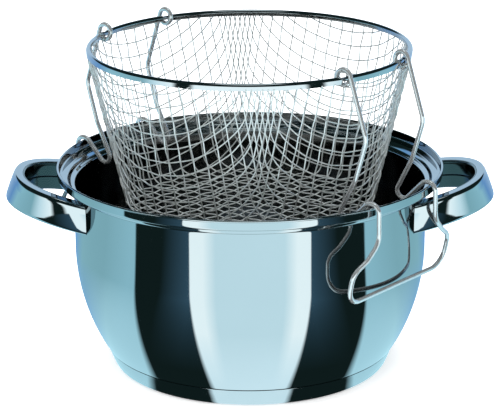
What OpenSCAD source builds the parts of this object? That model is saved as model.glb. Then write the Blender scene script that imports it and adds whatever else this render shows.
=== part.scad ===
// Stovetop deep fryer: a bellied steel pot with two hollow loop handles, and a
// round mesh frying basket parked over it on two hinged wire bails.
// Origin: centre of the pot's foot, on the surface it stands on.
// +Z is up, +X points to the right handle and -Y to the front.

/* [Pot] */
// Outer radius of the rolled lip
rim_r = 125; // [124.5:0.1:126]
// Height of the top of the lip
rim_z = 133.1; // [132.6:0.1:133.4]
// Outer radius of the straight part of the wall
wall_r = 114.2; // [113.8:0.1:114.4]
// Thickness of the pressed steel sheet
sheet_t = 1; // [0.8:0.05:1.1]
// Height of the crease under the flared pouring rim
neck_z = 121.5; // [121:0.1:122]
// Height at which the belly starts to curve inwards
belly_z = 80; // [79:0.5:81]
// Radius of the belly's curve in side view
belly_arc = 127; // [126:0.5:128]
// Radius of the bead rolled round the lip
lip_r = 0.8; // [0.7:0.05:0.9]

/* [Base] */
// Underside of the pot's own floor, above the aluminium core
floor_z = 6.5; // [6.3:0.1:6.7]
// Radius of the aluminium heat-spreading disc
core_r = 86; // [80:1:86]
// Thickness of the steel capsule that covers the disc
capsule_t = 0.8; // [0.7:0.1:0.9]
// Height of the seam between capsule and pot
seam_z = 12.2; // [12:0.1:12.4]

/* [Handles] */
// Reach of a handle's top edge from the pot's axis
handle_reach = 152.6; // [148:0.5:154]
// Half of the width a handle takes up along the wall
handle_half_w = 49; // [47:0.5:49.5]
// Rise of a handle per millimetre outwards
handle_slope = 0.23; // [0.2:0.01:0.24]
// Height of the handle's band
handle_h = 19; // [18:0.5:19.5]
// Width of the top of the handle's band
handle_w = 7.2; // [6.5:0.1:8]

/* [Basket] */
// Outer radius of the mesh at its flat bottom
mesh_bottom_r = 79.6; // [78:0.1:80]
// Height of the bottom of the parked basket
mesh_bottom_z = 106; // [105.5:0.1:107]
// Outward lean of the mesh wall per millimetre of height
mesh_lean = 0.235; // [0.23:0.001:0.237]
// Thickness of the plain shell that stands for the woven mesh
mesh_t = 0.8; // [0.7:0.1:0.9]
// Radius of the wire ring inside the rim
rim_wire_r = 1.3; // [1.2:0.05:1.35]
// Height of the rim ring's centre
rim_wire_z = 209.5; // [209.4:0.05:209.7]

/* [Bails] */
// Radius of the bail wire
bail_r = 1.5; // [1.3:0.05:1.55]
// Half of the distance between the two legs of a bail
leg_half = 29.65; // [29:0.1:30.5]
// Direction of the front bail, in degrees from +X
bail_azimuth = -39.5; // [-42:0.5:-38]
// Centreline radius of the eye at the end of each leg
eye_r = 4.9; // [4.8:0.05:5.1]

/* [Output] */
// Which piece to draw

/* [Hidden] */
// The lip, the parked bails and the rim all hang on these derived values
belly_cx = wall_r - belly_arc;
lip_c = [rim_r - lip_r, rim_z - lip_r];
// Outside of the rim: crease, ledge, riser and shelf, then the shoulder
// that turns up into the collar, which ends inside the lip's bead
rim_outside = [[wall_r, neck_z], [wall_r + 2.4, neck_z + 0.6],
               [wall_r + 3.4, neck_z + 2.1], [wall_r + 4, neck_z + 3.7],
               [wall_r + 5.4, neck_z + 4.4]];
shoulder_out = [[wall_r + 8.4, neck_z + 4.7], [rim_r - 0.4, neck_z + 4.9],
                [rim_r - 0.4, neck_z + 6.7]];
collar_out_end = lip_c + 0.95 * lip_r * [cos(-60), sin(-60)];
// Inside of the rim, from the lip down
collar_in_end = lip_c + 0.95 * lip_r * [cos(150), sin(150)];
shoulder_in = [[rim_r - 1.4, neck_z + 7.1], [rim_r - 1.4, neck_z + 5.7],
               [rim_r - 3.4, neck_z + 5.5]];
rim_inside = [[wall_r + 5.2, neck_z + 5.4], [wall_r + 4, neck_z + 5],
              [wall_r + 3, neck_z + 4.1], [wall_r + 2.5, neck_z + 2.5],
              [wall_r + 1.5, neck_z + 1.5], [wall_r, neck_z + 1.2],
              [wall_r - sheet_t, neck_z + 0.8], [wall_r - sheet_t, neck_z]];
curve_steps = 8;
// The one pressed shell is drawn as four stacked rings that meet face to face
floor_disc_r = 86;
belly_top_z = 45;

handle_root_x = 95;
handle_top_z = 124.2;
handle_ref_x = 130;
handle_pow = 2.3;
handle_gap = 0.25;
handle_splay = 6.9;
handle_steps = 40;

rim_ring_r = mesh_bottom_r + (rim_wire_z - mesh_bottom_z) * mesh_lean - 1.7;
band_t = 0.4;
band_play = 0.3;
band_in = rim_wire_r + 0.1;
band_skirt_z = rim_wire_z - 2.5;
mesh_top_z = rim_wire_z - rim_wire_r - 0.4;
mesh_corner_r = 8;
notch_w = 5.4;
notch_deep = 6.2;
band_notch_w = 5.4;

eye_lift = 1.2;
eye_rad = sqrt(rim_ring_r * rim_ring_r - leg_half * leg_half);
bail_azimuths = [bail_azimuth, bail_azimuth + 180];
wire_sides = 12;
bend_steps = 4;

// Points of a quadratic curve from p[0] to p[2], drawn towards p[1]
function curve(p) =
    [for (i = [0 : curve_steps]) let (t = i / curve_steps)
        p[0] * (1 - t) * (1 - t) + p[1] * 2 * t * (1 - t) + p[2] * t * t];

// ---- pot ----

// Half section of the shell below the crease
module pot_body_section() {
    difference() {
        union() {
            // belly above the base, with the shoulder at the seam
            intersection() {
                translate([belly_cx, belly_z]) circle(r = belly_arc, $fn = 120);
                polygon([[0, floor_z], [87.5, floor_z], [90.9, floor_z + 1.7],
                         [93, seam_z], [wall_r + 1, seam_z],
                         [wall_r + 1, belly_z], [0, belly_z]]);
            }
            translate([0, belly_z]) square([wall_r, neck_z - belly_z]);
        }
        intersection() {
            translate([belly_cx, belly_z])
                circle(r = belly_arc - sheet_t, $fn = 120);
            polygon([[0, floor_z + sheet_t], [86.9, floor_z + sheet_t],
                     [89.6, floor_z + sheet_t + 1.5], [92.4, seam_z + 0.6],
                     [wall_r + 1, seam_z + 21.1], [wall_r + 1, belly_z],
                     [0, belly_z]]);
        }
        translate([0, belly_z])
            square([wall_r - sheet_t, neck_z - belly_z + 1]);
    }
}

// Ring of the shell between two heights, outside a given radius
module pot_ring(from_z, to_z, from_r) {
    color([0.86, 0.87, 0.88])
        rotate_extrude($fn = 180)
            intersection() {
                pot_body_section();
                translate([from_r, from_z])
                    square([wall_r + 1 - from_r, to_z - from_z]);
            }
}

module pot_floor() {
    color([0.86, 0.87, 0.88])
        translate([0, 0, floor_z])
            cylinder(r = floor_disc_r, h = sheet_t, $fn = 180);
}

module pot_belly() {
    pot_ring(floor_z - 1, belly_top_z, floor_disc_r);
}

module pot_wall() {
    pot_ring(belly_top_z, neck_z, floor_disc_r);
}

// Stepped pouring rim with its upright collar and the rolled lip
module pot_rim() {
    color([0.86, 0.87, 0.88])
        rotate_extrude($fn = 180) {
            polygon(concat(rim_outside, curve(shoulder_out),
                           [collar_out_end, lip_c, collar_in_end],
                           curve(shoulder_in), rim_inside));
            translate(lip_c) circle(r = lip_r, $fn = 32);
        }
}

module base_core() {
    color([0.75, 0.76, 0.78])
        translate([0, 0, capsule_t])
            cylinder(r = core_r, h = floor_z - capsule_t, $fn = 180);
}

// Pressed steel pan round the core; its edge stops just under the seam
module base_capsule() {
    color([0.82, 0.83, 0.84])
        rotate_extrude($fn = 180)
            polygon([[0, 0], [88, 0], [90.6, 2.4], [92.6, 7],
                     [94.1, seam_z - 0.3], [93.4, seam_z - 0.3],
                     [91.75, 7.2], [89.85, 2.9], [87.6, capsule_t],
                     [0, capsule_t]]);
}

// ---- side handles ----

// A guide curve is [centre x, half length, half width, power, top drop]
guide_out_top = [handle_root_x, handle_reach - handle_root_x, handle_half_w,
                 handle_pow, 0];
guide_out_low = [handle_root_x, handle_reach - handle_root_x + handle_splay,
                 handle_half_w + 0.5, handle_pow - 0.1, handle_h];
guide_in_top = [handle_root_x - 5.3, handle_reach - handle_root_x - 1.8,
                handle_half_w - handle_w - 2.3, handle_pow + 0.1, 0];
guide_in_low = [handle_root_x - 5.3,
                handle_reach - handle_root_x + 0.4,
                handle_half_w - handle_w - 2.8, handle_pow + 0.1, handle_h];

// Point of a guide curve, by angle round the loop
function guide_xy(g, a) =
    [g[0] + g[1] * pow(cos(a), 2 / g[3]),
     g[2] * pow(abs(sin(a)), 2 / g[3]) * sign(a)];

// Angle at which a guide curve comes up to the pot wall, by halving
function wall_angle(g, lo, hi, n) =
    n == 0 ? lo
    : let (mid = (lo + hi) / 2)
      norm(guide_xy(g, mid)) > wall_r + handle_gap
        ? wall_angle(g, mid, hi, n - 1)
        : wall_angle(g, lo, mid, n - 1);

function guide_point(g, t) =
    let (p = guide_xy(g, t * wall_angle(g, 0, 90, 24)))
    [p[0], p[1],
     handle_top_z - g[4] + handle_slope * (p[0] - handle_ref_x)];

// Position in the band: across from outside to inside, up from low to top
function band_point(t, across, up) =
    let (lo = guide_point(guide_out_low, t) * (1 - across)
            + guide_point(guide_in_low, t) * across,
         hi = guide_point(guide_out_top, t) * (1 - across)
            + guide_point(guide_in_top, t) * across)
    lo * (1 - up) + hi * up;

// Sections of the two pressed halves, as [across, up] inside the band
section_outer = [[0.78, 0], [0.14, 0], [0.03, 0.02], [0, 0.07], [0, 0.92],
                 [0.04, 0.98], [0.16, 1], [0.78, 1], [0.78, 0.94],
                 [0.2, 0.93], [0.16, 0.07], [0.78, 0.06]];
section_inner = [[0.8, 1], [0.9, 1], [0.98, 0.98], [1, 0.93], [1, 0.07],
                 [0.98, 0.02], [0.9, 0], [0.8, 0], [0.8, 0.06],
                 [0.84, 0.07], [0.84, 0.93], [0.8, 0.94]];

// Solid swept from rings of points, closed at both ends by a fan
module swept(rings) {
    n = len(rings[0]);
    m = len(rings);
    polyhedron(
        points = [for (r = rings) for (p = r) p],
        faces = concat(
            [for (i = [0 : m - 2]) for (j = [0 : n - 1])
                let (k = (j + 1) % n)
                [i * n + j, (i + 1) * n + j, (i + 1) * n + k]],
            [for (i = [0 : m - 2]) for (j = [0 : n - 1])
                let (k = (j + 1) % n)
                [i * n + j, (i + 1) * n + k, i * n + k]],
            [[for (j = [0 : n - 1]) j]],
            [[for (j = [n - 1 : -1 : 0]) (m - 1) * n + j]]),
        convexity = 6);
}

module handle_band(section) {
    swept([for (i = [0 : handle_steps])
        let (s = 2 * i / handle_steps - 1, t = sign(s) * pow(abs(s), 0.9))
        [for (q = section) band_point(t, q[0], q[1])]]);
}

module left_handle_outer() {
    color([0.8, 0.82, 0.84]) rotate([0, 0, 180]) handle_band(section_outer);
}

module left_handle_inner() {
    color([0.7, 0.72, 0.74]) rotate([0, 0, 180]) handle_band(section_inner);
}

module right_handle_outer() {
    color([0.8, 0.82, 0.84]) handle_band(section_outer);
}

module right_handle_inner() {
    color([0.7, 0.72, 0.74]) handle_band(section_inner);
}

// ---- basket ----

function mesh_r(z) = mesh_bottom_r + (z - mesh_bottom_z) * mesh_lean;

// Filled half section of the basket, a given distance inside its outside
module mesh_half(inset) {
    c = mesh_corner_r;
    z0 = mesh_bottom_z + inset;
    lean = atan(mesh_lean);
    cz = mesh_bottom_z + c;
    cx = mesh_r(cz) - c / cos(lean);
    ax = cx + (c - inset) * cos(lean);
    az = cz - (c - inset) * sin(lean);
    polygon([[0, z0], [cx, z0], [cx, cz], [ax, az],
             [mesh_r(mesh_top_z) - inset / cos(lean), mesh_top_z],
             [0, mesh_top_z]]);
    intersection() {
        translate([cx, cz]) circle(r = c - inset, $fn = 64);
        polygon([[cx, z0 - 1], [cx, cz],
                 [cx + 2 * c * cos(lean), cz - 2 * c * sin(lean)],
                 [cx + 2 * c, z0 - 1]]);
    }
}

// Stands at each of the four places where an eye goes round the rim
module at_eyes() {
    for (a = bail_azimuths) for (s = [-1, 1])
        rotate([0, 0, a]) translate([eye_rad, s * leg_half, rim_wire_z])
            children();
}

module basket_mesh() {
    color([0.7, 0.72, 0.74])
        difference() {
            rotate_extrude($fn = 180)
                difference() {
                    mesh_half(0);
                    translate([0, 0.001]) mesh_half(mesh_t);
                }
            at_eyes()
                translate([-8, -notch_w / 2, -notch_deep])
                    cube([16, notch_w, notch_deep + 2]);
        }
}

module basket_rim_wire() {
    color([0.8, 0.81, 0.83])
        rotate_extrude($fn = 180)
            translate([rim_ring_r, rim_wire_z])
                circle(r = rim_wire_r, $fn = 32);
}

// Steel strip folded over the wire and down both sides of the mesh,
// cut away where the eyes are
module basket_rim_band() {
    o = band_in + band_t;
    top_r = mesh_r(band_skirt_z);
    color([0.85, 0.86, 0.88])
        difference() {
            rotate_extrude($fn = 180)
                difference() {
                    union() {
                        translate([rim_ring_r, rim_wire_z])
                            circle(r = o, $fn = 48);
                        polygon([[rim_ring_r - o, rim_wire_z],
                                 [top_r - mesh_t - band_play - band_t, band_skirt_z],
                                 [top_r + band_play + band_t, band_skirt_z],
                                 [rim_ring_r + o, rim_wire_z]]);
                    }
                    translate([rim_ring_r, rim_wire_z])
                        circle(r = band_in, $fn = 48);
                    polygon([[rim_ring_r - band_in, rim_wire_z],
                             [top_r - mesh_t - band_play, band_skirt_z],
                             [top_r - mesh_t - band_play, band_skirt_z - 1],
                             [top_r + band_play, band_skirt_z - 1],
                             [top_r + band_play, band_skirt_z],
                             [rim_ring_r + band_in, rim_wire_z]]);
                }
            at_eyes()
                translate([-8, -band_notch_w / 2, -6])
                    cube([16, band_notch_w, 12]);
        }
}

// ---- bails ----

// Grip loop hangs in a plane that leans out a little with height
function grip_rad(z) = 119.5 + 0.15 * (z - 90);

// Corners of one half of a bail from eye to crossbar:
// [outwards, across, up, bend radius]
bail_corners = [
    [eye_rad + eye_r * cos(19), leg_half, rim_wire_z + eye_lift + eye_r * sin(19), 0],
    [115.2, leg_half, 174, 12],
    [107.3, leg_half, 148, 20],
    [93.4, leg_half, 121.2, 4.6],
    [103.1, leg_half, 121.2, 4.6],
    [117, leg_half, 135.2, 4],
    [125.4, leg_half, 135.2, 4.2],
    [125.9, leg_half, 112, 6],
    [grip_rad(104) + 3, leg_half + 10, 102.5, 8],
    [grip_rad(97) + 1.4, leg_half + 20.5, 96, 10],
    [grip_rad(76), leg_half + 20.5, 75, 12],
    [grip_rad(75), 0, 75, 0]];

function unit(v) = v / norm(v);
function xyz(c) = [c[0], c[1], c[2]];

// Points of the bend at corner i, or the plain point at an end
function bend(cs, i) =
    cs[i][3] == 0 ? [xyz(cs[i])]
    : let (p = xyz(cs[i]),
           u = unit(xyz(cs[i - 1]) - p),
           v = unit(xyz(cs[i + 1]) - p),
           half = acos(max(-1, min(1, u * v))) / 2,
           back = cs[i][3] / tan(half),
           mid = p + unit(u + v) * cs[i][3] / sin(half),
           a = p + u * back - mid,
           b = p + v * back - mid,
           turn = acos(max(-1, min(1, a * b / cs[i][3] / cs[i][3]))))
      [for (k = [0 : bend_steps]) let (w = k / bend_steps)
          mid + (a * sin((1 - w) * turn) + b * sin(w * turn)) / sin(turn)];

bail_half = [for (i = [0 : len(bail_corners) - 1]) each bend(bail_corners, i)];
bail_path = concat(
    bail_half,
    [for (i = [len(bail_half) - 2 : -1 : 0])
        [bail_half[i][0], -bail_half[i][1], bail_half[i][2]]]);

// Direction of the path at a point, and a side direction square to it
function heading(i) =
    let (last = len(bail_path) - 1)
    unit(bail_path[min(i + 1, last)] - bail_path[max(i - 1, 0)]);
function side_dirs(i, prev) =
    i > len(bail_path) - 1 ? []
    : let (h = heading(i), s = unit(prev - h * (prev * h)))
      concat([s], side_dirs(i + 1, s));

module bail_wire() {
    sides = side_dirs(0, [0, 1, 0]);
    swept([for (i = [0 : len(bail_path) - 1])
        let (s = sides[i], t = cross(heading(i), s))
        [for (k = [0 : wire_sides - 1])
            let (a = 360 * k / wire_sides)
            bail_path[i] + (s * cos(a) + t * sin(a)) * bail_r]]);
}

module bail(azimuth) {
    rotate([0, 0, azimuth]) {
        bail_wire();
        for (s = [-1, 1])
            translate([eye_rad, s * leg_half, rim_wire_z + eye_lift])
                rotate([90, 0, 0])
                    rotate_extrude($fn = 64)
                        translate([eye_r, 0]) circle(r = bail_r, $fn = 24);
    }
}

module front_bail() {
    color([0.78, 0.8, 0.82]) bail(bail_azimuths[0]);
}

module back_bail() {
    color([0.78, 0.8, 0.82]) bail(bail_azimuths[1]);
}

pot_floor();
pot_belly();
pot_wall();
pot_rim();
base_core();
base_capsule();
left_handle_outer();
left_handle_inner();
right_handle_outer();
right_handle_inner();
basket_mesh();
basket_rim_wire();
basket_rim_band();
front_bail();
back_bail();
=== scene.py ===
"""Looks of the stovetop deep fryer: mirror-steel pot, hollow loop handles,
woven frying basket and hinged wire bails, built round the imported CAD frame.

Lengths below are in millimetres in the CAD's own frame and are scaled to
metres when a mesh is made. The pot stands on z = 0 and the front is -Y.
"""

import math

import bpy
import numpy as np
from mathutils import Matrix, Vector


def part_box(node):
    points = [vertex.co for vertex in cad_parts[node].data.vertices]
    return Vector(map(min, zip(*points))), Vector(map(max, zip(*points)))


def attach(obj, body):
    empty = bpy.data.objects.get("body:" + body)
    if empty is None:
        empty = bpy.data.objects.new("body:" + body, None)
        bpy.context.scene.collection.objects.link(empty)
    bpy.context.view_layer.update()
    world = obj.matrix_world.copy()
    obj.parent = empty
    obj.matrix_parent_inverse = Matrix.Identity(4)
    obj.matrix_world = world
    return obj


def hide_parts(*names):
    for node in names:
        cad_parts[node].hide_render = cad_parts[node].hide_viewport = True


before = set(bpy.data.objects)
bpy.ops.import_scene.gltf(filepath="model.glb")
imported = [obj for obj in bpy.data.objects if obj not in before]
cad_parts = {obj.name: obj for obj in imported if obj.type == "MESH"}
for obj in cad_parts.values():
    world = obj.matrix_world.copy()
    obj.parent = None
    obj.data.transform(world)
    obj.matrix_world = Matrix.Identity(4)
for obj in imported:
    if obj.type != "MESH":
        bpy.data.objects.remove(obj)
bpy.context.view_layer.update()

MM = 0.001


def node_top(node):
    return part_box(node)[1] / MM


# ------------------------------------------------------------- dimensions

POT_NODES = [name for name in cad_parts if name.startswith("pot_")]
RIM_R = max(node_top(name).x for name in POT_NODES)
RIM_Z = max(node_top(name).z for name in POT_NODES)
WALL_R = 114.2
SHEET = 1.0
NECK_Z = 121.5
BELLY_Z = 80.0
BELLY_ARC = 127.0
BELLY_CX = WALL_R - BELLY_ARC
LIP_R = 0.8
LIP = (RIM_R - LIP_R, RIM_Z - LIP_R)
FLOOR_Z = 6.5
FLOOR_FLAT_R = 87.5
SEAM_Z = 12.2
SEAM_GAP = 0.55
FOOT_R = 93.2

HANDLE_ROOT_X = 95.0
HANDLE_REACH = 152.6
HANDLE_HALF_W = 49.0
HANDLE_W = 7.2
HANDLE_H = 19.0
HANDLE_TOP_Z = 124.2
HANDLE_REF_X = 130.0
HANDLE_SLOPE = 0.23
HANDLE_POW = 2.3
HANDLE_SPLAY = 6.9
HANDLE_GAP = 0.25

MESH_R = 79.6
MESH_Z = 106.0
MESH_LEAN = 0.235
MESH_CORNER = 8.0
PITCH = 9.3
NET_ANGLE = -41.0
NET_PHASE = (0.355, 0.113)
NET_WIRE_R = 0.43
WEAVE_HEIGHT = NET_WIRE_R * 0.95

RING_Z = 209.5
RING_R = MESH_R + (RING_Z - MESH_Z) * MESH_LEAN - 1.7
RING_WIRE_R = 1.3
BAND_T = 0.4
BAND_IN = RING_WIRE_R + 0.1
BAND_SKIRT_Z = RING_Z - 2.5
BAND_OUT_PLAY = 0.1
BAND_IN_PLAY = 0.9
NOTCH_HALF = 2.7

BAIL_R = 1.5
BAIL_AZIMUTH = (-39.5, 140.5)
LEG_HALF = 29.65
EYE_R = 4.9
EYE_LIFT = 1.2
EYE_RAD = math.sqrt(RING_R**2 - LEG_HALF**2)


# ------------------------------------------------------------- mesh tools


def add_mesh(name, points, faces, material, sharp_deg=40.0):
    """A smooth-shaded object from points in millimetres."""
    mesh = bpy.data.meshes.new(name)
    scaled = (np.asarray(points, float) * MM).tolist()
    mesh.from_pydata(scaled, [], faces)
    mesh.validate()
    mesh.shade_smooth()
    mesh.set_sharp_from_angle(angle=math.radians(sharp_deg))
    obj = bpy.data.objects.new(name, mesh)
    bpy.context.scene.collection.objects.link(obj)
    obj.data.materials.append(material)
    return obj


def arc(centre, radius, start, end, steps):
    """Points on a circle from one angle to another, in degrees."""
    return [
        (
            centre[0] + radius * math.cos(math.radians(a)),
            centre[1] + radius * math.sin(math.radians(a)),
        )
        for a in np.linspace(start, end, steps + 1)
    ]


def curve(a, b, c, steps):
    """Quadratic curve from a to c, drawn towards b."""
    a, b, c = (np.array(p, float) for p in (a, b, c))
    return [
        tuple(a * (1 - t) ** 2 + b * 2 * t * (1 - t) + c * t * t)
        for t in np.linspace(0, 1, steps + 1)
    ]


def rounded(corners, steps=5):
    """A 2D outline with each [x, y, radius] corner turned into a curve."""
    out = []
    n = len(corners)
    for i, (x, y, r) in enumerate(corners):
        p = np.array((x, y), float)
        if r == 0:
            out.append((x, y))
            continue
        before = np.array(corners[i - 1][:2], float) - p
        after = np.array(corners[(i + 1) % n][:2], float) - p
        a = p + before / np.linalg.norm(before) * r
        b = p + after / np.linalg.norm(after) * r
        out += curve(a, p, b, steps)
    return out


def lathe(name, profile, material, segments=384, sharp_deg=40.0):
    """Turns a closed (radius, height) outline round the Z axis."""
    rings = []
    points = []
    for r, z in profile:
        if r < 1e-6:
            rings.append([len(points)])
            points.append((0.0, 0.0, z))
            continue
        start = len(points)
        rings.append(list(range(start, start + segments)))
        turn = np.arange(segments) * 2 * math.pi / segments
        points += list(
            zip(r * np.cos(turn), r * np.sin(turn), np.full(segments, z))
        )
    faces = []
    for lower, upper in zip(rings, rings[1:] + rings[:1]):
        if len(lower) == 1 and len(upper) == 1:
            continue
        for k in range(segments):
            m = (k + 1) % segments
            if len(lower) == 1:
                faces.append((lower[0], upper[m], upper[k]))
            elif len(upper) == 1:
                faces.append((lower[k], lower[m], upper[0]))
            else:
                faces.append((lower[k], lower[m], upper[m], upper[k]))
    return add_mesh(name, points, faces, material, sharp_deg)


def sweep_rings(rings):
    """Points and faces of a solid through equal rings, capped at both ends."""
    rings = [np.asarray(r, float) for r in rings]
    n = len(rings[0])
    points = np.concatenate(rings)
    faces = []
    for i in range(len(rings) - 1):
        for j in range(n):
            k = (j + 1) % n
            a, b = i * n, (i + 1) * n
            faces.append((a + j, a + k, b + k, b + j))
    last = (len(rings) - 1) * n
    faces.append(tuple(range(n - 1, -1, -1)))
    faces.append(tuple(range(last, last + n)))
    return points, faces


def tube_rings(path, radius, sides):
    """Rings round a path, carried along it without twist."""
    path = np.asarray(path, float)
    heading = np.gradient(path, axis=0)
    heading /= np.linalg.norm(heading, axis=1)[:, None]
    side = np.cross(heading[0], (0.3, 0.4, 0.87))
    turn = np.arange(sides) * 2 * math.pi / sides
    rings = []
    for p, h in zip(path, heading):
        side = side - h * (side @ h)
        side /= np.linalg.norm(side)
        other = np.cross(h, side)
        rings.append(
            p
            + radius
            * (np.outer(np.cos(turn), side) + np.outer(np.sin(turn), other))
        )
    return rings


def round_ends(rings, path, radius, steps=4):
    """Adds a rounded nose to each end of a tube's rings."""
    path = np.asarray(path, float)
    out = list(rings)
    for at_end in (False, True):
        i, j = (-1, -2) if at_end else (0, 1)
        centre = path[i]
        way = centre - path[j]
        way /= np.linalg.norm(way)
        base = rings[i] - centre
        nose = []
        for s in range(1, steps + 1):
            a = s / steps * math.radians(84)
            nose.append(centre + base * math.cos(a) + way * radius * 0.8 * math.sin(a))
        out = out + nose if at_end else nose[::-1] + out
    return out


def join_sweeps(sweeps):
    """One point list and face list from several sweeps."""
    points, faces, start = [], [], 0
    for p, f in sweeps:
        points.append(p)
        faces += [tuple(i + start for i in face) for face in f]
        start += len(p)
    return np.concatenate(points), faces


def turned(points, degrees):
    """Points turned about Z."""
    a = math.radians(degrees)
    spin = np.array(
        ((math.cos(a), math.sin(a), 0), (-math.sin(a), math.cos(a), 0), (0, 0, 1))
    )
    return np.asarray(points, float) @ spin


# -------------------------------------------------------------- materials


class Nodes:
    """Short calls for wiring a material's node tree."""

    def __init__(self, name):
        self.material = bpy.data.materials.new(name)
        self.material.use_nodes = True
        self.tree = self.material.node_tree
        self.tree.nodes.clear()

    def add(self, kind, **settings):
        made = self.tree.nodes.new(kind)
        for key, value in settings.items():
            setattr(made, key, value)
        return made

    def link(self, a, b):
        self.tree.links.new(a, b)

    def coords(self, scale):
        """Object coordinates, stretched by scale per axis."""
        place = self.add("ShaderNodeTexCoord")
        mapping = self.add("ShaderNodeMapping")
        mapping.inputs["Scale"].default_value = scale
        self.link(place.outputs["Object"], mapping.inputs["Vector"])
        return mapping.outputs["Vector"]

    def noise(self, scale, detail=4.0, stretch=(1, 1, 1), rough=0.5):
        made = self.add("ShaderNodeTexNoise")
        made.inputs["Scale"].default_value = scale
        made.inputs["Detail"].default_value = detail
        made.inputs["Roughness"].default_value = rough
        self.link(self.coords(stretch), made.inputs["Vector"])
        return made.outputs["Fac"]

    def remap(self, value, low, high, start=0.3, end=0.7):
        made = self.add("ShaderNodeMapRange")
        made.inputs["From Min"].default_value = start
        made.inputs["From Max"].default_value = end
        made.inputs["To Min"].default_value = low
        made.inputs["To Max"].default_value = high
        self.link(value, made.inputs["Value"])
        return made.outputs["Result"]

    def mix(self, value, dark, light):
        made = self.add("ShaderNodeMix", data_type="RGBA")
        made.inputs["A"].default_value = (*dark, 1)
        made.inputs["B"].default_value = (*light, 1)
        self.link(value, made.inputs["Factor"])
        return made.outputs["Result"]

    def bump(self, height, strength, distance, onto=None):
        made = self.add("ShaderNodeBump")
        made.inputs["Strength"].default_value = strength
        made.inputs["Distance"].default_value = distance
        self.link(height, made.inputs["Height"])
        if onto is not None:
            self.link(onto, made.inputs["Normal"])
        return made.outputs["Normal"]

    def finish(self, **sockets):
        shader = self.add("ShaderNodeBsdfPrincipled")
        for key, value in sockets.items():
            socket = shader.inputs[key.replace("_", " ")]
            if isinstance(value, bpy.types.NodeSocket):
                self.link(value, socket)
            else:
                socket.default_value = value
        out = self.add("ShaderNodeOutputMaterial")
        self.link(shader.outputs["BSDF"], out.inputs["Surface"])
        return self.material


def steel(name, dark, light, rough, waviness=0.0, metal=1.0):
    """Polished stainless steel: faint haze, hairlines and surface waves."""
    n = Nodes(name)
    haze = n.noise(26, 5)
    hairline = n.noise(900, 3, (1, 1, 14))
    normal = n.bump(hairline, 0.02, 0.00002)
    if waviness:
        normal = n.bump(n.noise(9, 1), waviness, 0.002, normal)
    return n.finish(
        Base_Color=n.mix(haze, dark, light),
        Metallic=metal,
        Roughness=n.remap(haze, rough[0], rough[1]),
        Normal=normal,
    )


RING_PITCH = 1.1


def ringed_steel(name):
    """Base of the pot: polished, with fine turning rings round its axis."""
    n = Nodes(name)
    place = n.add("ShaderNodeTexCoord")
    length = n.add("ShaderNodeVectorMath", operation="LENGTH")
    flat = n.add("ShaderNodeVectorMath", operation="MULTIPLY")
    flat.inputs[1].default_value = (1, 1, 0)
    n.link(place.outputs["Object"], flat.inputs[0])
    n.link(flat.outputs["Vector"], length.inputs[0])
    rings = n.add("ShaderNodeMath", operation="SINE")
    scale = n.add("ShaderNodeMath", operation="MULTIPLY")
    scale.inputs[1].default_value = 2 * math.pi / (RING_PITCH * MM)
    n.link(length.outputs["Value"], scale.inputs[0])
    n.link(scale.outputs["Value"], rings.inputs[0])
    haze = n.noise(40, 5)
    return n.finish(
        Base_Color=n.mix(haze, (0.56, 0.60, 0.61), (0.63, 0.66, 0.67)),
        Metallic=1.0,
        Roughness=n.remap(haze, 0.07, 0.16),
        Normal=n.bump(rings.outputs["Value"], 0.06, 0.00003),
    )


POT_STEEL = steel(
    "pot_steel", (0.60, 0.63, 0.64), (0.64, 0.67, 0.68), (0.02, 0.05), waviness=0.04
)
# Inside of the pot: a slightly rougher steel whose darker colour is painted shade for the deep
# hollow
POT_INSIDE_SHADED = steel("pot_inside", (0.40, 0.40, 0.39), (0.47, 0.47, 0.46), (0.06, 0.12))
# Near-black faces in the gap between the pot's foot and the base: painted shade
SEAM_SHADE = steel("seam_painted_shade", (0.05, 0.06, 0.06), (0.10, 0.11, 0.11), (0.35, 0.55))
BASE_STEEL = ringed_steel("base_steel")
HANDLE_STEEL = steel(
    "handle_steel", (0.58, 0.62, 0.64), (0.64, 0.68, 0.69), (0.02, 0.05), waviness=0.03
)
# Inner faces of the handles: darker, greener steel as painted shade
HANDLE_INSIDE_SHADED = steel("handle_inside_painted_shade", (0.24, 0.29, 0.28), (0.32, 0.37, 0.36), (0.05, 0.12))
NET_STEEL = steel("net_wire", (0.70, 0.75, 0.74), (0.84, 0.88, 0.87), (0.25, 0.4), metal=0.72)
RIM_STEEL = steel("rim_steel", (0.60, 0.63, 0.65), (0.68, 0.71, 0.73), (0.04, 0.10))
BAIL_STEEL = steel("bail_wire", (0.72, 0.76, 0.77), (0.80, 0.84, 0.85), (0.08, 0.16), metal=0.8)


def cast_aluminium():
    n = Nodes("core_aluminium")
    grain = n.noise(220, 6)
    return n.finish(
        Base_Color=n.mix(grain, (0.58, 0.59, 0.60), (0.72, 0.73, 0.74)),
        Metallic=1.0,
        Roughness=n.remap(grain, 0.35, 0.6),
        Normal=n.bump(grain, 0.2, 0.0001),
    )


CORE_METAL = cast_aluminium()


def keep(obj, body, slot, *nodes):
    """The piece stands for CAD nodes, which it hides, and rides on their body; the slot is not
    used.
    """
    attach(obj, body)
    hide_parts(*nodes)
    return obj


# -------------------------------------------------------------------- pot


def belly(inset, z):
    """Radius of the belly's arc at a height."""
    return BELLY_CX + math.sqrt((BELLY_ARC - inset) ** 2 - (BELLY_Z - z) ** 2)


def belly_arc(inset, z_from, z_to, steps):
    return [(belly(inset, z), z) for z in np.linspace(z_from, z_to, steps + 1)]


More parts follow.
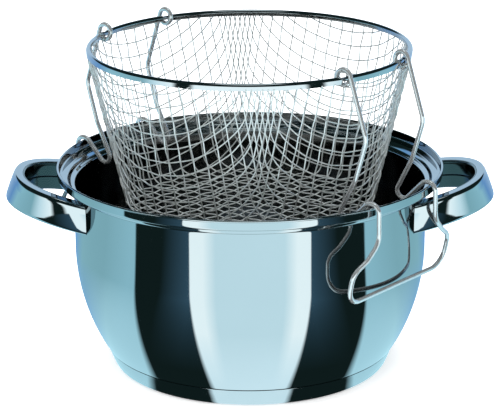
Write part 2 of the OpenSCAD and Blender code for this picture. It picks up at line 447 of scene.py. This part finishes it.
# Bends of the pouring rim as (out from the wall, up from the crease), each
# given as from, towards, to
RIM_BENDS_OUTSIDE = [
    ((0, -0.6), (0, 0.1), (0.7, 0.2)),
    ((2.2, 0.55), (2.9, 0.8), (3.3, 1.9)),
    ((3.9, 3.4), (4.1, 4.2), (5.4, 4.4)),
]
RIM_BENDS_INSIDE = [
    ((5.2, 5.4), (3.7, 5.2), (3.1, 4.1)),
    ((2.5, 2.5), (2.3, 1.6), (1.2, 1.45)),
    ((0.1, 1.25), (-SHEET, 1.15), (-SHEET, -0.1)),
]
COLLAR_R = RIM_R - LIP_R / 2
COLLAR_INSIDE_R = COLLAR_R - SHEET


def rim_bends(bends, steps):
    points = []
    for bend in bends:
        points += curve(*((WALL_R + out, NECK_Z + up) for out, up in bend), steps)
    return points


def pot_outside():
    """From the floor's underside, over the foot and belly to the lip."""
    points = [(0, FLOOR_Z), (60, FLOOR_Z), (FLOOR_FLAT_R, FLOOR_Z)]
    points += [(90.9, FLOOR_Z + 1.7), (FOOT_R - 0.2, SEAM_Z - 0.15), (FOOT_R, SEAM_Z)]
    points += curve(
        (belly(0, SEAM_Z) - 0.5, SEAM_Z),
        (belly(0, SEAM_Z), SEAM_Z),
        (belly(0, SEAM_Z + 0.5), SEAM_Z + 0.5),
        4,
    )
    points += belly_arc(0, SEAM_Z + 1.5, BELLY_Z, 40)
    points += [(WALL_R, z) for z in np.linspace(90, NECK_Z - 1.2, 4)]
    points += rim_bends(RIM_BENDS_OUTSIDE, 5)
    points += curve(
        (WALL_R + 8.4, NECK_Z + 4.7),
        (COLLAR_R, NECK_Z + 4.9),
        (COLLAR_R, NECK_Z + 6.9),
        12,
    )
    points += [(COLLAR_R, NECK_Z + 8.2), (COLLAR_R, NECK_Z + 9.5)]
    return points


def pot_inside():
    """From the lip, down the wall and over the floor to the middle."""
    wall_in = WALL_R - SHEET
    floor_top = FLOOR_Z + SHEET
    points = [(COLLAR_INSIDE_R, LIP[1] - 0.5), (COLLAR_INSIDE_R, NECK_Z + 8.6)]
    points += curve(
        (COLLAR_INSIDE_R, NECK_Z + 7.1),
        (COLLAR_INSIDE_R, NECK_Z + 5.7),
        (RIM_R - 3.4, NECK_Z + 5.5),
        10,
    )
    points += rim_bends(RIM_BENDS_INSIDE, 6)
    points += [(wall_in, z) for z in np.linspace(NECK_Z - 4, BELLY_Z + 4, 5)]
    points += belly_arc(SHEET, BELLY_Z, 17, 36)
    points += curve((95.3, 15.2), (90.5, 8.2), (84.0, floor_top), 12)
    points += [(60, floor_top), (0, floor_top)]
    return points


def pot_profile():
    """Closed outline of the pressed pot, from the floor's underside round."""
    lip = arc(LIP, LIP_R, -58, 148, 16)
    return pot_outside() + lip + pot_inside()


# Places of the pot's three materials in its list: outside steel, inside steel darkened as
# painted shade, and near-black painted shade in the seam
OUTSIDE_FACES, INSIDE_FACES, SEAM_FACES = 0, 1, 2


def pot_finish(face):
    """Which of the pot's materials a face has: the outside steel, the inside steel darkened as
    painted shade, or the near-black painted shade of the seam.
    """
    centre = face.center / MM
    radius = math.hypot(centre.x, centre.y)
    inward = face.normal.x * centre.x + face.normal.y * centre.y < 0
    faces_in = inward or face.normal.z > 0.9
    if faces_in and centre.z < NECK_Z - 0.3 and radius < WALL_R - 0.4:
        return INSIDE_FACES
    in_seam = not inward and centre.z < SEAM_Z - 0.01
    seam_roof = face.normal.z < -0.9 and centre.z < SEAM_Z + 0.01
    return SEAM_FACES if in_seam or seam_roof else OUTSIDE_FACES


def make_pot():
    pot = lathe("pot_shell_polished", pot_profile(), POT_STEEL, 512, 38)
    # The inside faces get darker steel as painted shade, the seam faces near-black painted
    # shade
    pot.data.materials.append(POT_INSIDE_SHADED)
    pot.data.materials.append(SEAM_SHADE)
    for face in pot.data.polygons:
        face.material_index = pot_finish(face)
    keep(pot, "pot", "pot_steel", *POT_NODES)


def make_base():
    """The pressed pan under the pot, and the disc that it hides."""
    top = SEAM_Z - SEAM_GAP
    outer = [(0, 0), (40, 0), (86.6, 0)]
    outer += curve((87.4, 0), (89.6, 0.05), (90.6, 2.4), 8)
    outer += [(91.6, 4.7), (92.6, 7.0), (93.4, 9.5), (93.9, 11.2)]
    outer += curve((94.0, top - 0.15), (94.02, top), (93.8, top), 3)
    inner = [(93.45, top), (91.75, 7.2), (89.85, 2.9), (87.6, 0.8), (0, 0.8)]
    base = lathe("base_capsule_pressed", outer + inner, BASE_STEEL, 384, 30)
    keep(base, "pot", "base_steel", "base_capsule")
    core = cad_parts["base_core"]
    core.data.materials.clear()
    core.data.materials.append(CORE_METAL)


# ---------------------------------------------------------------- handles

# Guides: [centre x, half length, half width, power, drop below the top]
GUIDE_REACH = HANDLE_REACH - HANDLE_ROOT_X
OUT_TOP = (HANDLE_ROOT_X, GUIDE_REACH, HANDLE_HALF_W, HANDLE_POW, 0)
OUT_LOW = (
    HANDLE_ROOT_X,
    GUIDE_REACH + HANDLE_SPLAY,
    HANDLE_HALF_W + 0.5,
    HANDLE_POW - 0.1,
    HANDLE_H,
)
IN_TOP = (
    HANDLE_ROOT_X - 5.3,
    GUIDE_REACH - 1.8,
    HANDLE_HALF_W - HANDLE_W - 2.3,
    HANDLE_POW + 0.1,
    0,
)
IN_LOW = (
    HANDLE_ROOT_X - 5.3,
    GUIDE_REACH + 0.4,
    HANDLE_HALF_W - HANDLE_W - 2.8,
    HANDLE_POW + 0.1,
    HANDLE_H,
)
HANDLE_STATIONS = 180


def guide_xy(guide, a):
    power = 2 / guide[3]
    return np.array(
        (
            guide[0] + guide[1] * math.cos(a) ** power,
            guide[2] * abs(math.sin(a)) ** power * (1 if a >= 0 else -1),
        )
    )


def wall_angle(guide):
    """Angle at which a guide comes up to the pot's wall."""
    low, high = 0.0, math.pi / 2
    for _ in range(40):
        middle = (low + high) / 2
        if np.linalg.norm(guide_xy(guide, middle)) > WALL_R + HANDLE_GAP:
            low = middle
        else:
            high = middle
    return low


def guide_line(guide):
    """Evenly spaced points of a guide from one root to the other."""
    top = wall_angle(guide)
    fine = np.array([guide_xy(guide, a) for a in np.linspace(-top, top, 2001)])
    along = np.concatenate(([0], np.cumsum(np.linalg.norm(np.diff(fine, axis=0), axis=1))))
    even = np.linspace(0, along[-1], HANDLE_STATIONS + 1)
    x = np.interp(even, along, fine[:, 0])
    y = np.interp(even, along, fine[:, 1])
    z = HANDLE_TOP_Z - guide[4] + HANDLE_SLOPE * (x - HANDLE_REF_X)
    return np.stack((x, y, z), 1)


def handle_rings(section):
    """Rings of a section given as [across, up] from outside-low corner."""
    out_top, out_low = guide_line(OUT_TOP), guide_line(OUT_LOW)
    in_top, in_low = guide_line(IN_TOP), guide_line(IN_LOW)
    rings = []
    for ot, ol, it, il in zip(out_top, out_low, in_top, in_low):
        low = [ol * (1 - q) + il * q for q, _ in section]
        high = [ot * (1 - q) + it * q for q, _ in section]
        rings.append(
            [a * (1 - w) + b * w for a, b, (_, w) in zip(low, high, section)]
        )
    return rings


def dense(outline, most=0.08):
    """Adds points to long straight stretches of a closed outline."""
    out = []
    for a, b in zip(outline, outline[1:] + outline[:1]):
        count = max(1, math.ceil(math.dist(a, b) / most))
        out += [
            (a[0] + (b[0] - a[0]) * k / count, a[1] + (b[1] - a[1]) * k / count)
            for k in range(count)
        ]
    return out


def crowned(section, amount=0.035):
    """Lets the outer face swell a little between its edges."""
    return [
        (q - amount * max(0.0, 1 - q * 8) * 4 * w * (1 - w), w) for q, w in section
    ]


def outer_section():
    """Pressed outer half: C-shaped, with rounded top and bottom edges."""
    outside = rounded(
        [(0.78, 0.0, 0), (0.05, 0.0, 0.12), (0.03, 1.0, 0.16), (0.78, 1.0, 0)], 8
    )
    inside = [(0.78, 0.94), (0.2, 0.93), (0.17, 0.07), (0.78, 0.06)]
    return crowned(dense(outside + inside))


def lower_strip(top):
    """Inner face below the seam, with the rounded lower edge."""
    outline = rounded(
        [(0.8, 0.0, 0), (1.0, 0.0, 0.1), (1.0, top, 0.03), (0.86, top, 0)], 6
    )
    return dense(outline + [(0.86, 0.07), (0.8, 0.06)])


def upper_strip(bottom):
    """Inner face above the seam, with the rounded upper edge."""
    outline = rounded(
        [(0.86, bottom, 0), (1.0, bottom, 0.03), (1.0, 1.0, 0.13), (0.8, 1.0, 0)], 6
    )
    return dense(outline + [(0.8, 0.94), (0.86, 0.93)])


def make_handle(side, degrees):
    points, faces = sweep_rings(handle_rings(outer_section()))
    points = turned(points, degrees)
    outer = add_mesh(f"{side}_handle_outer_shell", points, faces, HANDLE_STEEL, 50)
    keep(outer, "pot", "handle_steel", f"{side}_handle_outer")
    strips = [sweep_rings(handle_rings(part)) for part in (lower_strip(0.47), upper_strip(0.5))]
    points, faces = join_sweeps(strips)
    points = turned(points, degrees)
    # The inner faces take the darker steel of painted shade
    inner = add_mesh(f"{side}_handle_inner_shell", points, faces, HANDLE_INSIDE_SHADED, 50)
    keep(inner, "pot", "handle_steel", f"{side}_handle_inner")


# ----------------------------------------------------------------- basket

LEAN_ANGLE = math.atan(MESH_LEAN)
SIN_A, COS_A = math.sin(LEAN_ANGLE), math.cos(LEAN_ANGLE)
MESH_TOP_Z = RING_Z - RING_WIRE_R - 0.1


def basket_surface(s, turn):
    """Point and normal where the cloth has run s from the middle.

    The flat runs out to the corner and then up the leaning wall; the
    corner between them is a round one.
    """
    bend = math.pi / 2 - LEAN_ANGLE
    reach = MESH_CORNER * math.tan(bend / 2)
    start, end = MESH_R - reach, MESH_R + reach
    centre = (start, MESH_Z + MESH_CORNER)
    s = np.asarray(s, float)
    a = np.clip((s - start) / (end - start), 0, 1) * bend
    r = centre[0] + MESH_CORNER * np.sin(a)
    z = centre[1] - MESH_CORNER * np.cos(a)
    r = np.where(s < start, s, r)
    r = r + np.where(s > end, (s - end) * SIN_A, 0)
    z = z + np.where(s > end, (s - end) * COS_A, 0)
    way = np.stack((np.cos(turn), np.sin(turn)), -1)
    place = np.concatenate((way * r[:, None], z[:, None]), 1)
    normal = np.concatenate((way * np.sin(a)[:, None], -np.cos(a)[:, None]), 1)
    return place, normal


class Net:
    """A square-mesh cloth laid on the flat bottom and up the cone.

    The cloth keeps its wire lengths, so its squares shear to diamonds
    between the four directions in which its wires run straight up.
    In the unrolled cone a point (u, v) of the cloth is a(u) + b(v).
    """

    def __init__(self):
        self.slant = MESH_R / SIN_A
        fine = np.linspace(0, MESH_R, 2001)
        squeeze = 1 - SIN_A
        turn_a = -squeeze * np.arccos(np.clip(fine / MESH_R, -1, 1))
        turn_b = math.pi / 2 - squeeze * np.arcsin(np.clip(fine / MESH_R, -1, 1))
        step = fine[1]

        def run(turn):
            way = np.stack((np.cos(turn), np.sin(turn)), 1)
            inner = (way[1:] + way[:-1]) / 2 * step
            return np.concatenate((np.zeros((1, 2)), np.cumsum(inner, 0)))

        self.fine = fine
        self.a = run(turn_a)
        self.b = run(turn_b)
        self.up_b = np.array(
            (math.cos(math.pi / 2 * SIN_A), math.sin(math.pi / 2 * SIN_A))
        )

    def _a(self, u):
        whole = self.a[-1]
        part = np.stack([np.interp(u, self.fine, self.a[:, k]) for k in (0, 1)], 1)
        past = np.maximum(u - MESH_R, 0)[:, None] * np.array((1.0, 0.0))
        return np.array((self.slant, 0.0)) + part - whole + past

    def _b(self, v):
        part = np.stack([np.interp(v, self.fine, self.b[:, k]) for k in (0, 1)], 1)
        return part + np.maximum(v - MESH_R, 0)[:, None] * self.up_b

    def place(self, u, v):
        """Distance run and turn about the axis for cloth points (u, v)."""
        au, av = np.abs(u), np.abs(v)
        flat = np.hypot(au, av)
        spot = self._a(au) + self._b(av)
        rho = np.hypot(spot[:, 0], spot[:, 1])
        turn = np.arctan2(spot[:, 1], spot[:, 0]) / SIN_A
        on_flat = flat <= MESH_R
        s = np.where(on_flat, flat, MESH_R + rho - self.slant)
        turn = np.where(on_flat, np.arctan2(av, au), turn)
        turn = np.where(u < 0, math.pi - turn, turn)
        turn = np.where(v < 0, -turn, turn)
        return s, turn


STEPS_PER_SQUARE = 6


def net_wires():
    """Centre lines of all the basket's wires, woven over and under."""
    net = Net()
    longest = MESH_R + (MESH_TOP_Z - MESH_Z) / COS_A + PITCH
    run = np.arange(-longest, longest, PITCH / STEPS_PER_SQUARE)
    count = int(longest / PITCH) + 1
    paths = []
    for across in (0, 1):
        for k in range(-count, count + 1):
            fixed = (k + NET_PHASE[across]) * PITCH
            line = np.full_like(run, fixed)
            u, v = (line, run) if across == 0 else (run, line)
            s, turn = net.place(u, v)
            place, normal = basket_surface(s, turn + math.radians(NET_ANGLE))
            phase = math.pi * (run / PITCH - NET_PHASE[1 - across])
            wave = np.cos(phase) * (1 if k % 2 else -1) * (1 if across else -1)
            place = place + normal * (wave * WEAVE_HEIGHT)[:, None]
            inside = place[:, 2] < MESH_TOP_Z
            paths += split_runs(place, inside)
    return paths


def split_runs(points, keep_flags):
    """Stretches of a line where the flag holds, at least four points long."""
    runs, current = [], []
    for p, good in zip(points, keep_flags):
        if good:
            current.append(p)
        elif current:
            runs.append(current)
            current = []
    if current:
        runs.append(current)
    return [np.array(r) for r in runs if len(r) >= 4]


def band_profile():
    """Outline of the strip folded over ring and mesh edge."""
    net_edge = MESH_R + (BAND_SKIRT_Z - MESH_Z) * MESH_LEAN
    outer, inner = net_edge + BAND_OUT_PLAY, net_edge - BAND_IN_PLAY
    centre = (RING_R, RING_Z)
    outline = [(outer + BAND_T, BAND_SKIRT_Z)]
    outline += arc(centre, BAND_IN + BAND_T, 0, 180, 24)
    outline += [(inner - BAND_T, BAND_SKIRT_Z), (inner, BAND_SKIRT_Z)]
    outline += arc(centre, BAND_IN, 180, 0, 18)
    outline += [(outer, BAND_SKIRT_Z)]
    return outline


def notch_edges():
    """Turns, in degrees, at which the band stops either side of an eye."""
    half = math.degrees(NOTCH_HALF / RING_R)
    at = math.degrees(math.asin(LEG_HALF / RING_R))
    centres = sorted((a + s * at) % 360 for a in BAIL_AZIMUTH for s in (-1, 1))
    return [
        (a + half, (b if b > a else b + 360) - half)
        for a, b in zip(centres, centres[1:] + centres[:1])
    ]


BAND_STEP_DEG = 1.5


def swept_band():
    """The rim band as four curved lengths between the notches."""
    outline = band_profile()
    pieces = []
    for start, end in notch_edges():
        steps = max(8, int((end - start) / BAND_STEP_DEG))
        rings = []
        for a in np.radians(np.linspace(start, end, steps + 1)):
            rings.append([(r * math.cos(a), r * math.sin(a), z) for r, z in outline])
        pieces.append(sweep_rings(rings))
    return join_sweeps(pieces)


def make_basket():
    sweeps = [sweep_rings(tube_rings(p, NET_WIRE_R, 6)) for p in net_wires()]
    points, faces = join_sweeps(sweeps)
    net = add_mesh("basket_woven_net", points, faces, NET_STEEL, 60)
    keep(net, "basket", "mesh_wire", "basket_mesh")
    ring = lathe(
        "basket_rim_ring", arc((RING_R, RING_Z), RING_WIRE_R, 0, 345, 23), RIM_STEEL, 384, 60
    )
    keep(ring, "basket", "rim_steel", "basket_rim_wire")
    points, faces = swept_band()
    band = add_mesh("basket_rim_band_folded", points, faces, RIM_STEEL, 40)
    keep(band, "basket", "rim_steel", "basket_rim_band")


# ------------------------------------------------------------------ bails


EYE_START = 19.0
EYE_SWEEP = 300.0
GRIP_HALF = LEG_HALF + 20.5
GRIP_Z = 75.0
HOOK_FOOT_Z = 121.2
HOOK_TOP_Z = 135.2


def grip_rad(z):
    """The grip loop's plane leans out a little with height."""
    return 119.5 + 0.15 * (z - 90)


def bail_corners():
    """Corners from the foot of the eye to the crossbar's middle.

    Each is (distance out, distance along the rim, height, bend radius).
    """
    return [
        (115.2, LEG_HALF, 174, 12),
        (107.3, LEG_HALF, 148, 20),
        (93.4, LEG_HALF, HOOK_FOOT_Z, 4.6),
        (103.1, LEG_HALF, HOOK_FOOT_Z, 4.6),
        (117, LEG_HALF, HOOK_TOP_Z, 6),
        (125.4, LEG_HALF, HOOK_TOP_Z, 5.4),
        (125.9, LEG_HALF, 112, 13),
        (grip_rad(104) + 3, LEG_HALF + 10, 102.5, 9),
        (grip_rad(97) + 1.4, GRIP_HALF, 96, 10),
        (grip_rad(GRIP_Z + 1), GRIP_HALF, GRIP_Z, 12),
        (grip_rad(GRIP_Z), 0, GRIP_Z, 0),
    ]


def filleted(start, corners, steps=14):
    """A path from start through corners, each turned on its own radius."""
    nodes = [np.array(start, float)] + [np.array(c[:3], float) for c in corners]
    radii = [0] + [c[3] for c in corners]
    out = [nodes[0]]
    for i in range(1, len(nodes) - 1):
        p, r = nodes[i], radii[i]
        u = nodes[i - 1] - p
        v = nodes[i + 1] - p
        u, v = u / np.linalg.norm(u), v / np.linalg.norm(v)
        half = math.acos(max(-1.0, min(1.0, float(u @ v)))) / 2
        middle = p + (u + v) / np.linalg.norm(u + v) * r / math.sin(half)
        a = p + u * r / math.tan(half) - middle
        b = p + v * r / math.tan(half) - middle
        turn = math.acos(max(-1.0, min(1.0, float(a @ b) / r**2)))
        for w in np.linspace(0, 1, steps + 1):
            out.append(
                middle
                + (a * math.sin((1 - w) * turn) + b * math.sin(w * turn))
                / math.sin(turn)
            )
    out.append(nodes[-1])
    return out


def half_bail():
    """Wire from the cut end of one eye to the middle of the grip."""
    hub = np.array((EYE_RAD, LEG_HALF, RING_Z + EYE_LIFT))
    eye = [
        hub + EYE_R * np.array((math.cos(a), 0, math.sin(a)))
        for a in np.radians(np.linspace(EYE_START + EYE_SWEEP, EYE_START, 56))
    ]
    return eye[:-1] + filleted(eye[-1], bail_corners())


def spaced(path, gap=1.6):
    """Adds points along a path so none are further apart than gap."""
    out = [path[0]]
    for a, b in zip(path, path[1:]):
        count = max(1, math.ceil(np.linalg.norm(b - a) / gap))
        out += [a + (b - a) * k / count for k in range(1, count + 1)]
    return np.array(out)


def make_bail(name, body, azimuth):
    half = spaced(half_bail())
    path = np.concatenate((half, half[-2::-1] * (1, -1, 1)))
    rings = round_ends(tube_rings(path, BAIL_R, 20), path, BAIL_R)
    points, faces = sweep_rings(rings)
    bail = add_mesh(name, turned(points, azimuth), faces, BAIL_STEEL, 60)
    keep(bail, body, "bail_wire", body)


# ----------------------------------------------------------------- studio


def only_reflected(obj):
    """A studio card that shows in the steel and nowhere else."""
    obj.visible_camera = False
    obj.visible_diffuse = False
    obj.visible_shadow = False
    obj.visible_transmission = False
    return obj


def srgb(r, g, b):
    """Scene colour of a display colour given as 0 to 255."""
    return tuple(
        c / 12.92 if c <= 0.04045 else ((c + 0.055) / 1.055) ** 2.4
        for c in (r / 255, g / 255, b / 255)
    )


# Colours of the cards that the steel reflects
PALE = srgb(222, 236, 239)
PALE_MID = srgb(184, 212, 221)
PALE_LOW = srgb(196, 222, 231)
NIGHT = srgb(14, 26, 26)
NIGHT_LIT = srgb(46, 72, 88)
TEAL = srgb(118, 162, 173)
TEAL_LIT = srgb(130, 176, 190)
TEAL_LOW = srgb(158, 200, 213)
BLUE_LOW = srgb(104, 146, 186)
BLUE = srgb(92, 136, 182)
SKY = srgb(150, 174, 194)

# Edges of the cards on the table: [point, degrees from the front]
PALE_EDGE = ((24.0, -88.0), 38.9)
NIGHT_EDGE = ((54.0, -60.0), 74.6)
PALE_EDGE_SOFT = 2.0
NIGHT_EDGE_SOFT = 4.0

# Distances from the pot's axis over which a card turns to its far colour
PALE_FADE = (95.0, 170.0)
NIGHT_FADE = (110.0, 290.0)
TEAL_FADE = (90.0, 300.0)
NEAR_CARDS_R = 560.0
STUDIO_R = 3000.0
TENT_R = STUDIO_R * 0.995
STUDIO_FLOOR_Z = -1.0

# Colours along a card. The pale card's run from its middle line to its
# edge; the others run round the pot, from 0 in front to 1 behind.
PALE_STOPS = [(0, PALE_MID), (0.5, PALE_MID), (0.72, PALE), (1, PALE)]
NIGHT_STOPS = [(0.18, NIGHT_LIT), (0.28, NIGHT), (1, NIGHT)]
TEAL_STOPS = [
    (0.3, TEAL_LIT),
    (0.40, TEAL_LIT),
    (0.52, TEAL),
    (0.68, TEAL),
    (0.80, BLUE),
    (0.92, BLUE),
    (1, SKY),
]
TEAL_LOW_STOPS = [(0.3, TEAL_LOW), (0.48, TEAL_LOW), (0.66, BLUE_LOW), (1, BLUE_LOW)]
FAR_TABLE_STOPS = [
    (0, PALE),
    (0.20, PALE),
    (0.22, NIGHT),
    (0.27, NIGHT),
    (0.29, PALE),
    (0.36, PALE_MID),
    (0.42, TEAL),
    (0.60, TEAL_LIT),
    (0.70, BLUE),
    (0.90, SKY),
    (1, SKY),
]
TENT_STOPS = [
    (0, PALE),
    (0.20, PALE),
    (0.22, NIGHT),
    (0.28, NIGHT),
    (0.30, PALE),
    (0.42, TEAL),
    (0.56, TEAL_LIT),
    (0.68, BLUE),
    (0.86, SKY),
    (1, SKY),
]

# Light of the cards, and the share that is left after some bounces
CARD_LIGHT = 1.6
INSIDE_SHARE = 0.15
FIRST_BOUNCE, LAST_BOUNCE = 1, 3

# Heights on the tent as shares of its radius: the band of cards ends lower
# in front than behind, and the pale light overhead starts above
BAND_TOP = (0.12, 0.34)
BAND_TOP_AROUND = (0.5, 0.9)
BAND_TOP_SOFT = 0.03
OVERHEAD_FROM = (0.80, 0.86)

# Floor, room light and softbox, in metres and watts
FLOOR_SIZE = 12
FLOOR_LIFT = 0.4
ROOM_LIGHT = 1.05
SOFTBOX_SIZE = 3.0
SOFTBOX_WATTS = 60.0
SOFTBOX_AT = (-0.3, -0.4, 2.0)


class Glow(Nodes):
    """Nodes for a card whose colour depends on where round the pot it is."""

    def math(self, operation, a, b=None):
        made = self.add("ShaderNodeMath", operation=operation)
        for socket, value in zip(made.inputs, (a, b)):
            if isinstance(value, bpy.types.NodeSocket):
                self.link(value, socket)
            elif value is not None:
                socket.default_value = value
        return made.outputs["Value"]

    def place(self):
        """Distance to the side, forward and up; both sides match."""
        where = self.add("ShaderNodeTexCoord")
        parts = self.add("ShaderNodeSeparateXYZ")
        self.link(where.outputs["Object"], parts.inputs["Vector"])
        side = self.math("ABSOLUTE", parts.outputs["X"])
        return side, self.math("MULTIPLY", parts.outputs["Y"], -1), parts.outputs["Z"]

    def past(self, edge, side, front, soft):
        """0 inside a card's edge and 1 past it."""
        (x, y), degrees = edge
        turn = math.radians(degrees)
        across = self.math("MULTIPLY", self.math("SUBTRACT", side, x * MM), math.cos(turn))
        along = self.math("MULTIPLY", self.math("ADD", front, y * MM), math.sin(turn))
        return self.remap(self.math("SUBTRACT", across, along), 0, 1, -soft * MM, soft * MM)

    def reach(self, edge, side, front):
        """Share of the way out to a card's edge: 0 in the middle, 1 there."""
        (x, y), degrees = edge
        slope = math.tan(math.radians(degrees))
        ahead = self.math("MULTIPLY", self.math("ADD", front, y * MM), slope)
        width = self.math("MAXIMUM", self.math("ADD", ahead, x * MM), x * MM * 0.5)
        return self.math("DIVIDE", side, width)

    def ramp(self, value, stops):
        """Colours at given values from 0 to 1."""
        made = self.add("ShaderNodeValToRGB")
        marks = made.color_ramp.elements
        marks[0].position, marks[0].color = stops[0][0], (*stops[0][1], 1)
        marks[1].position, marks[1].color = stops[-1][0], (*stops[-1][1], 1)
        for at, colour in stops[1:-1]:
            marks.new(at).color = (*colour, 1)
        self.link(value, made.inputs["Fac"])
        return made.outputs["Color"]

    def around(self, side, front):
        """Direction round the pot: 0 in front, 1 behind."""
        return self.math("DIVIDE", self.math("ARCTAN2", side, front), math.pi)

    def distance(self, side, front):
        squares = self.math("POWER", side, 2), self.math("POWER", front, 2)
        return self.math("SQRT", self.math("ADD", *squares))

    def blend(self, share, a, b):
        """Colour a where the share is 0, b where it is 1."""
        made = self.add("ShaderNodeMix", data_type="RGBA")
        self.link(share, made.inputs["Factor"])
        for socket, value in ((made.inputs["A"], a), (made.inputs["B"], b)):
            if isinstance(value, bpy.types.NodeSocket):
                self.link(value, socket)
            else:
                socket.default_value = (*value, 1)
        return made.outputs["Result"]

    def glow(self, colour):
        """Light for the steel; it fades where it has bounced about inside."""
        path = self.add("ShaderNodeLightPath")
        depth = path.outputs["Ray Depth"]
        again = self.remap(depth, 1, INSIDE_SHARE, FIRST_BOUNCE, LAST_BOUNCE)
        shader = self.add("ShaderNodeEmission")
        self.link(colour, shader.inputs["Color"])
        self.link(self.math("MULTIPLY", again, CARD_LIGHT), shader.inputs["Strength"])
        out = self.add("ShaderNodeOutputMaterial")
        self.link(shader.outputs["Emission"], out.inputs["Surface"])
        return self.material


def table_glow():
    """Pale in front, a black card either side of it, then teal and blue."""
    n = Glow("table_cards")
    side, front, _ = n.place()
    around = n.around(side, front)
    distance = n.distance(side, front)

    def by_distance(fade, near, far):
        start, end = fade
        return n.blend(n.remap(distance, 0, 1, start * MM, end * MM), near, far)

    pale = n.ramp(n.reach(PALE_EDGE, side, front), PALE_STOPS)
    pale = by_distance(PALE_FADE, PALE_LOW, pale)
    night = by_distance(NIGHT_FADE, NIGHT, n.ramp(around, NIGHT_STOPS))
    teal = n.ramp(around, TEAL_STOPS)
    teal = by_distance(TEAL_FADE, n.ramp(around, TEAL_LOW_STOPS), teal)
    dark = n.blend(n.past(NIGHT_EDGE, side, front, NIGHT_EDGE_SOFT), night, teal)
    near = n.blend(n.past(PALE_EDGE, side, front, PALE_EDGE_SOFT), pale, dark)
    far = n.ramp(around, FAR_TABLE_STOPS)
    return n.glow(by_distance((NEAR_CARDS_R * 0.97, NEAR_CARDS_R), near, far))


def tent_glow():
    """A band of cards all round, dark above it, and pale light overhead."""
    n = Glow("tent_cards")
    side, front, up = n.place()
    around = n.around(side, front)
    height = n.math("DIVIDE", up, STUDIO_R * MM)
    band = n.ramp(around, TENT_STOPS)
    band_top = n.remap(around, *BAND_TOP, *BAND_TOP_AROUND)
    above = n.math("SUBTRACT", height, band_top)
    dark = n.remap(above, 0, 1, -BAND_TOP_SOFT, BAND_TOP_SOFT)
    overhead = n.remap(height, 0, 1, *OVERHEAD_FROM)
    return n.glow(n.blend(overhead, n.blend(dark, band, NIGHT), PALE))


def make_floor():
    bpy.ops.mesh.primitive_grid_add(x_subdivisions=2, y_subdivisions=2, size=FLOOR_SIZE)
    floor = bpy.context.object
    floor.name = "floor"
    n = Nodes("pale_floor")
    grain = n.noise(60, 5)
    floor.data.materials.append(
        n.finish(
            Base_Color=n.mix(grain, (0.93, 0.935, 0.94), (0.96, 0.96, 0.965)),
            Roughness=0.9,
            Emission_Strength=FLOOR_LIFT,
        )
    )
    floor.visible_glossy = False
    floor.location.z = -0.0002


def make_cards():
    """The table and the tent that show only as reflections."""
    table = [(0, STUDIO_FLOOR_Z), (STUDIO_R, STUDIO_FLOOR_Z)]
    only_reflected(lathe("reflected_table", table, table_glow(), 96))
    tent = arc((0, STUDIO_FLOOR_Z), TENT_R, 0, 90, 23)
    only_reflected(lathe("reflected_tent", tent, tent_glow(), 96))


def make_room_light():
    world = bpy.data.worlds.new("studio")
    bpy.context.scene.world = world
    world.use_nodes = True
    back = world.node_tree.nodes["Background"]
    back.inputs["Color"].default_value = (1.0, 1.0, 1.0, 1)
    back.inputs["Strength"].default_value = ROOM_LIGHT


def make_softbox():
    lamp = bpy.data.lights.new("softbox", "AREA")
    lamp.shape = "RECTANGLE"
    lamp.size = lamp.size_y = SOFTBOX_SIZE
    lamp.energy = SOFTBOX_WATTS
    obj = bpy.data.objects.new("softbox", lamp)
    obj.location = SOFTBOX_AT
    obj.visible_glossy = False
    bpy.context.scene.collection.objects.link(obj)


# Camera: stands straight in front of the pot and looks down on it. Its lens
# is as many times as long as the sensor is wide.
CAMERA_AT = (0.0, -1340.0, 528.0)
CAMERA_TILT = 17.69
CAMERA_ROLL = -0.22
LENS_PER_WIDTH = 4.308
SENSOR_WIDTH = 36.0


def make_camera():
    data = bpy.data.cameras.new("camera")
    data.sensor_width = SENSOR_WIDTH
    data.lens = SENSOR_WIDTH * LENS_PER_WIDTH
    data.clip_start, data.clip_end = 0.05, 30
    cam = bpy.data.objects.new("camera", data)
    cam.matrix_world = (
        Matrix.Translation(Vector(CAMERA_AT) * MM)
        @ Matrix.Rotation(math.radians(90 - CAMERA_TILT), 4, "X")
        @ Matrix.Rotation(math.radians(CAMERA_ROLL), 4, "Z")
    )
    bpy.context.scene.collection.objects.link(cam)
    bpy.context.scene.camera = cam


make_camera()
make_pot()
make_base()
make_handle("right", 0)
make_handle("left", 180)
make_basket()
make_bail("front_bail_wire", "front_bail", BAIL_AZIMUTH[0])
make_bail("back_bail_wire", "back_bail", BAIL_AZIMUTH[1])
make_floor()
make_cards()
make_room_light()
make_softbox()
bpy.context.scene.view_settings.view_transform = "Standard"
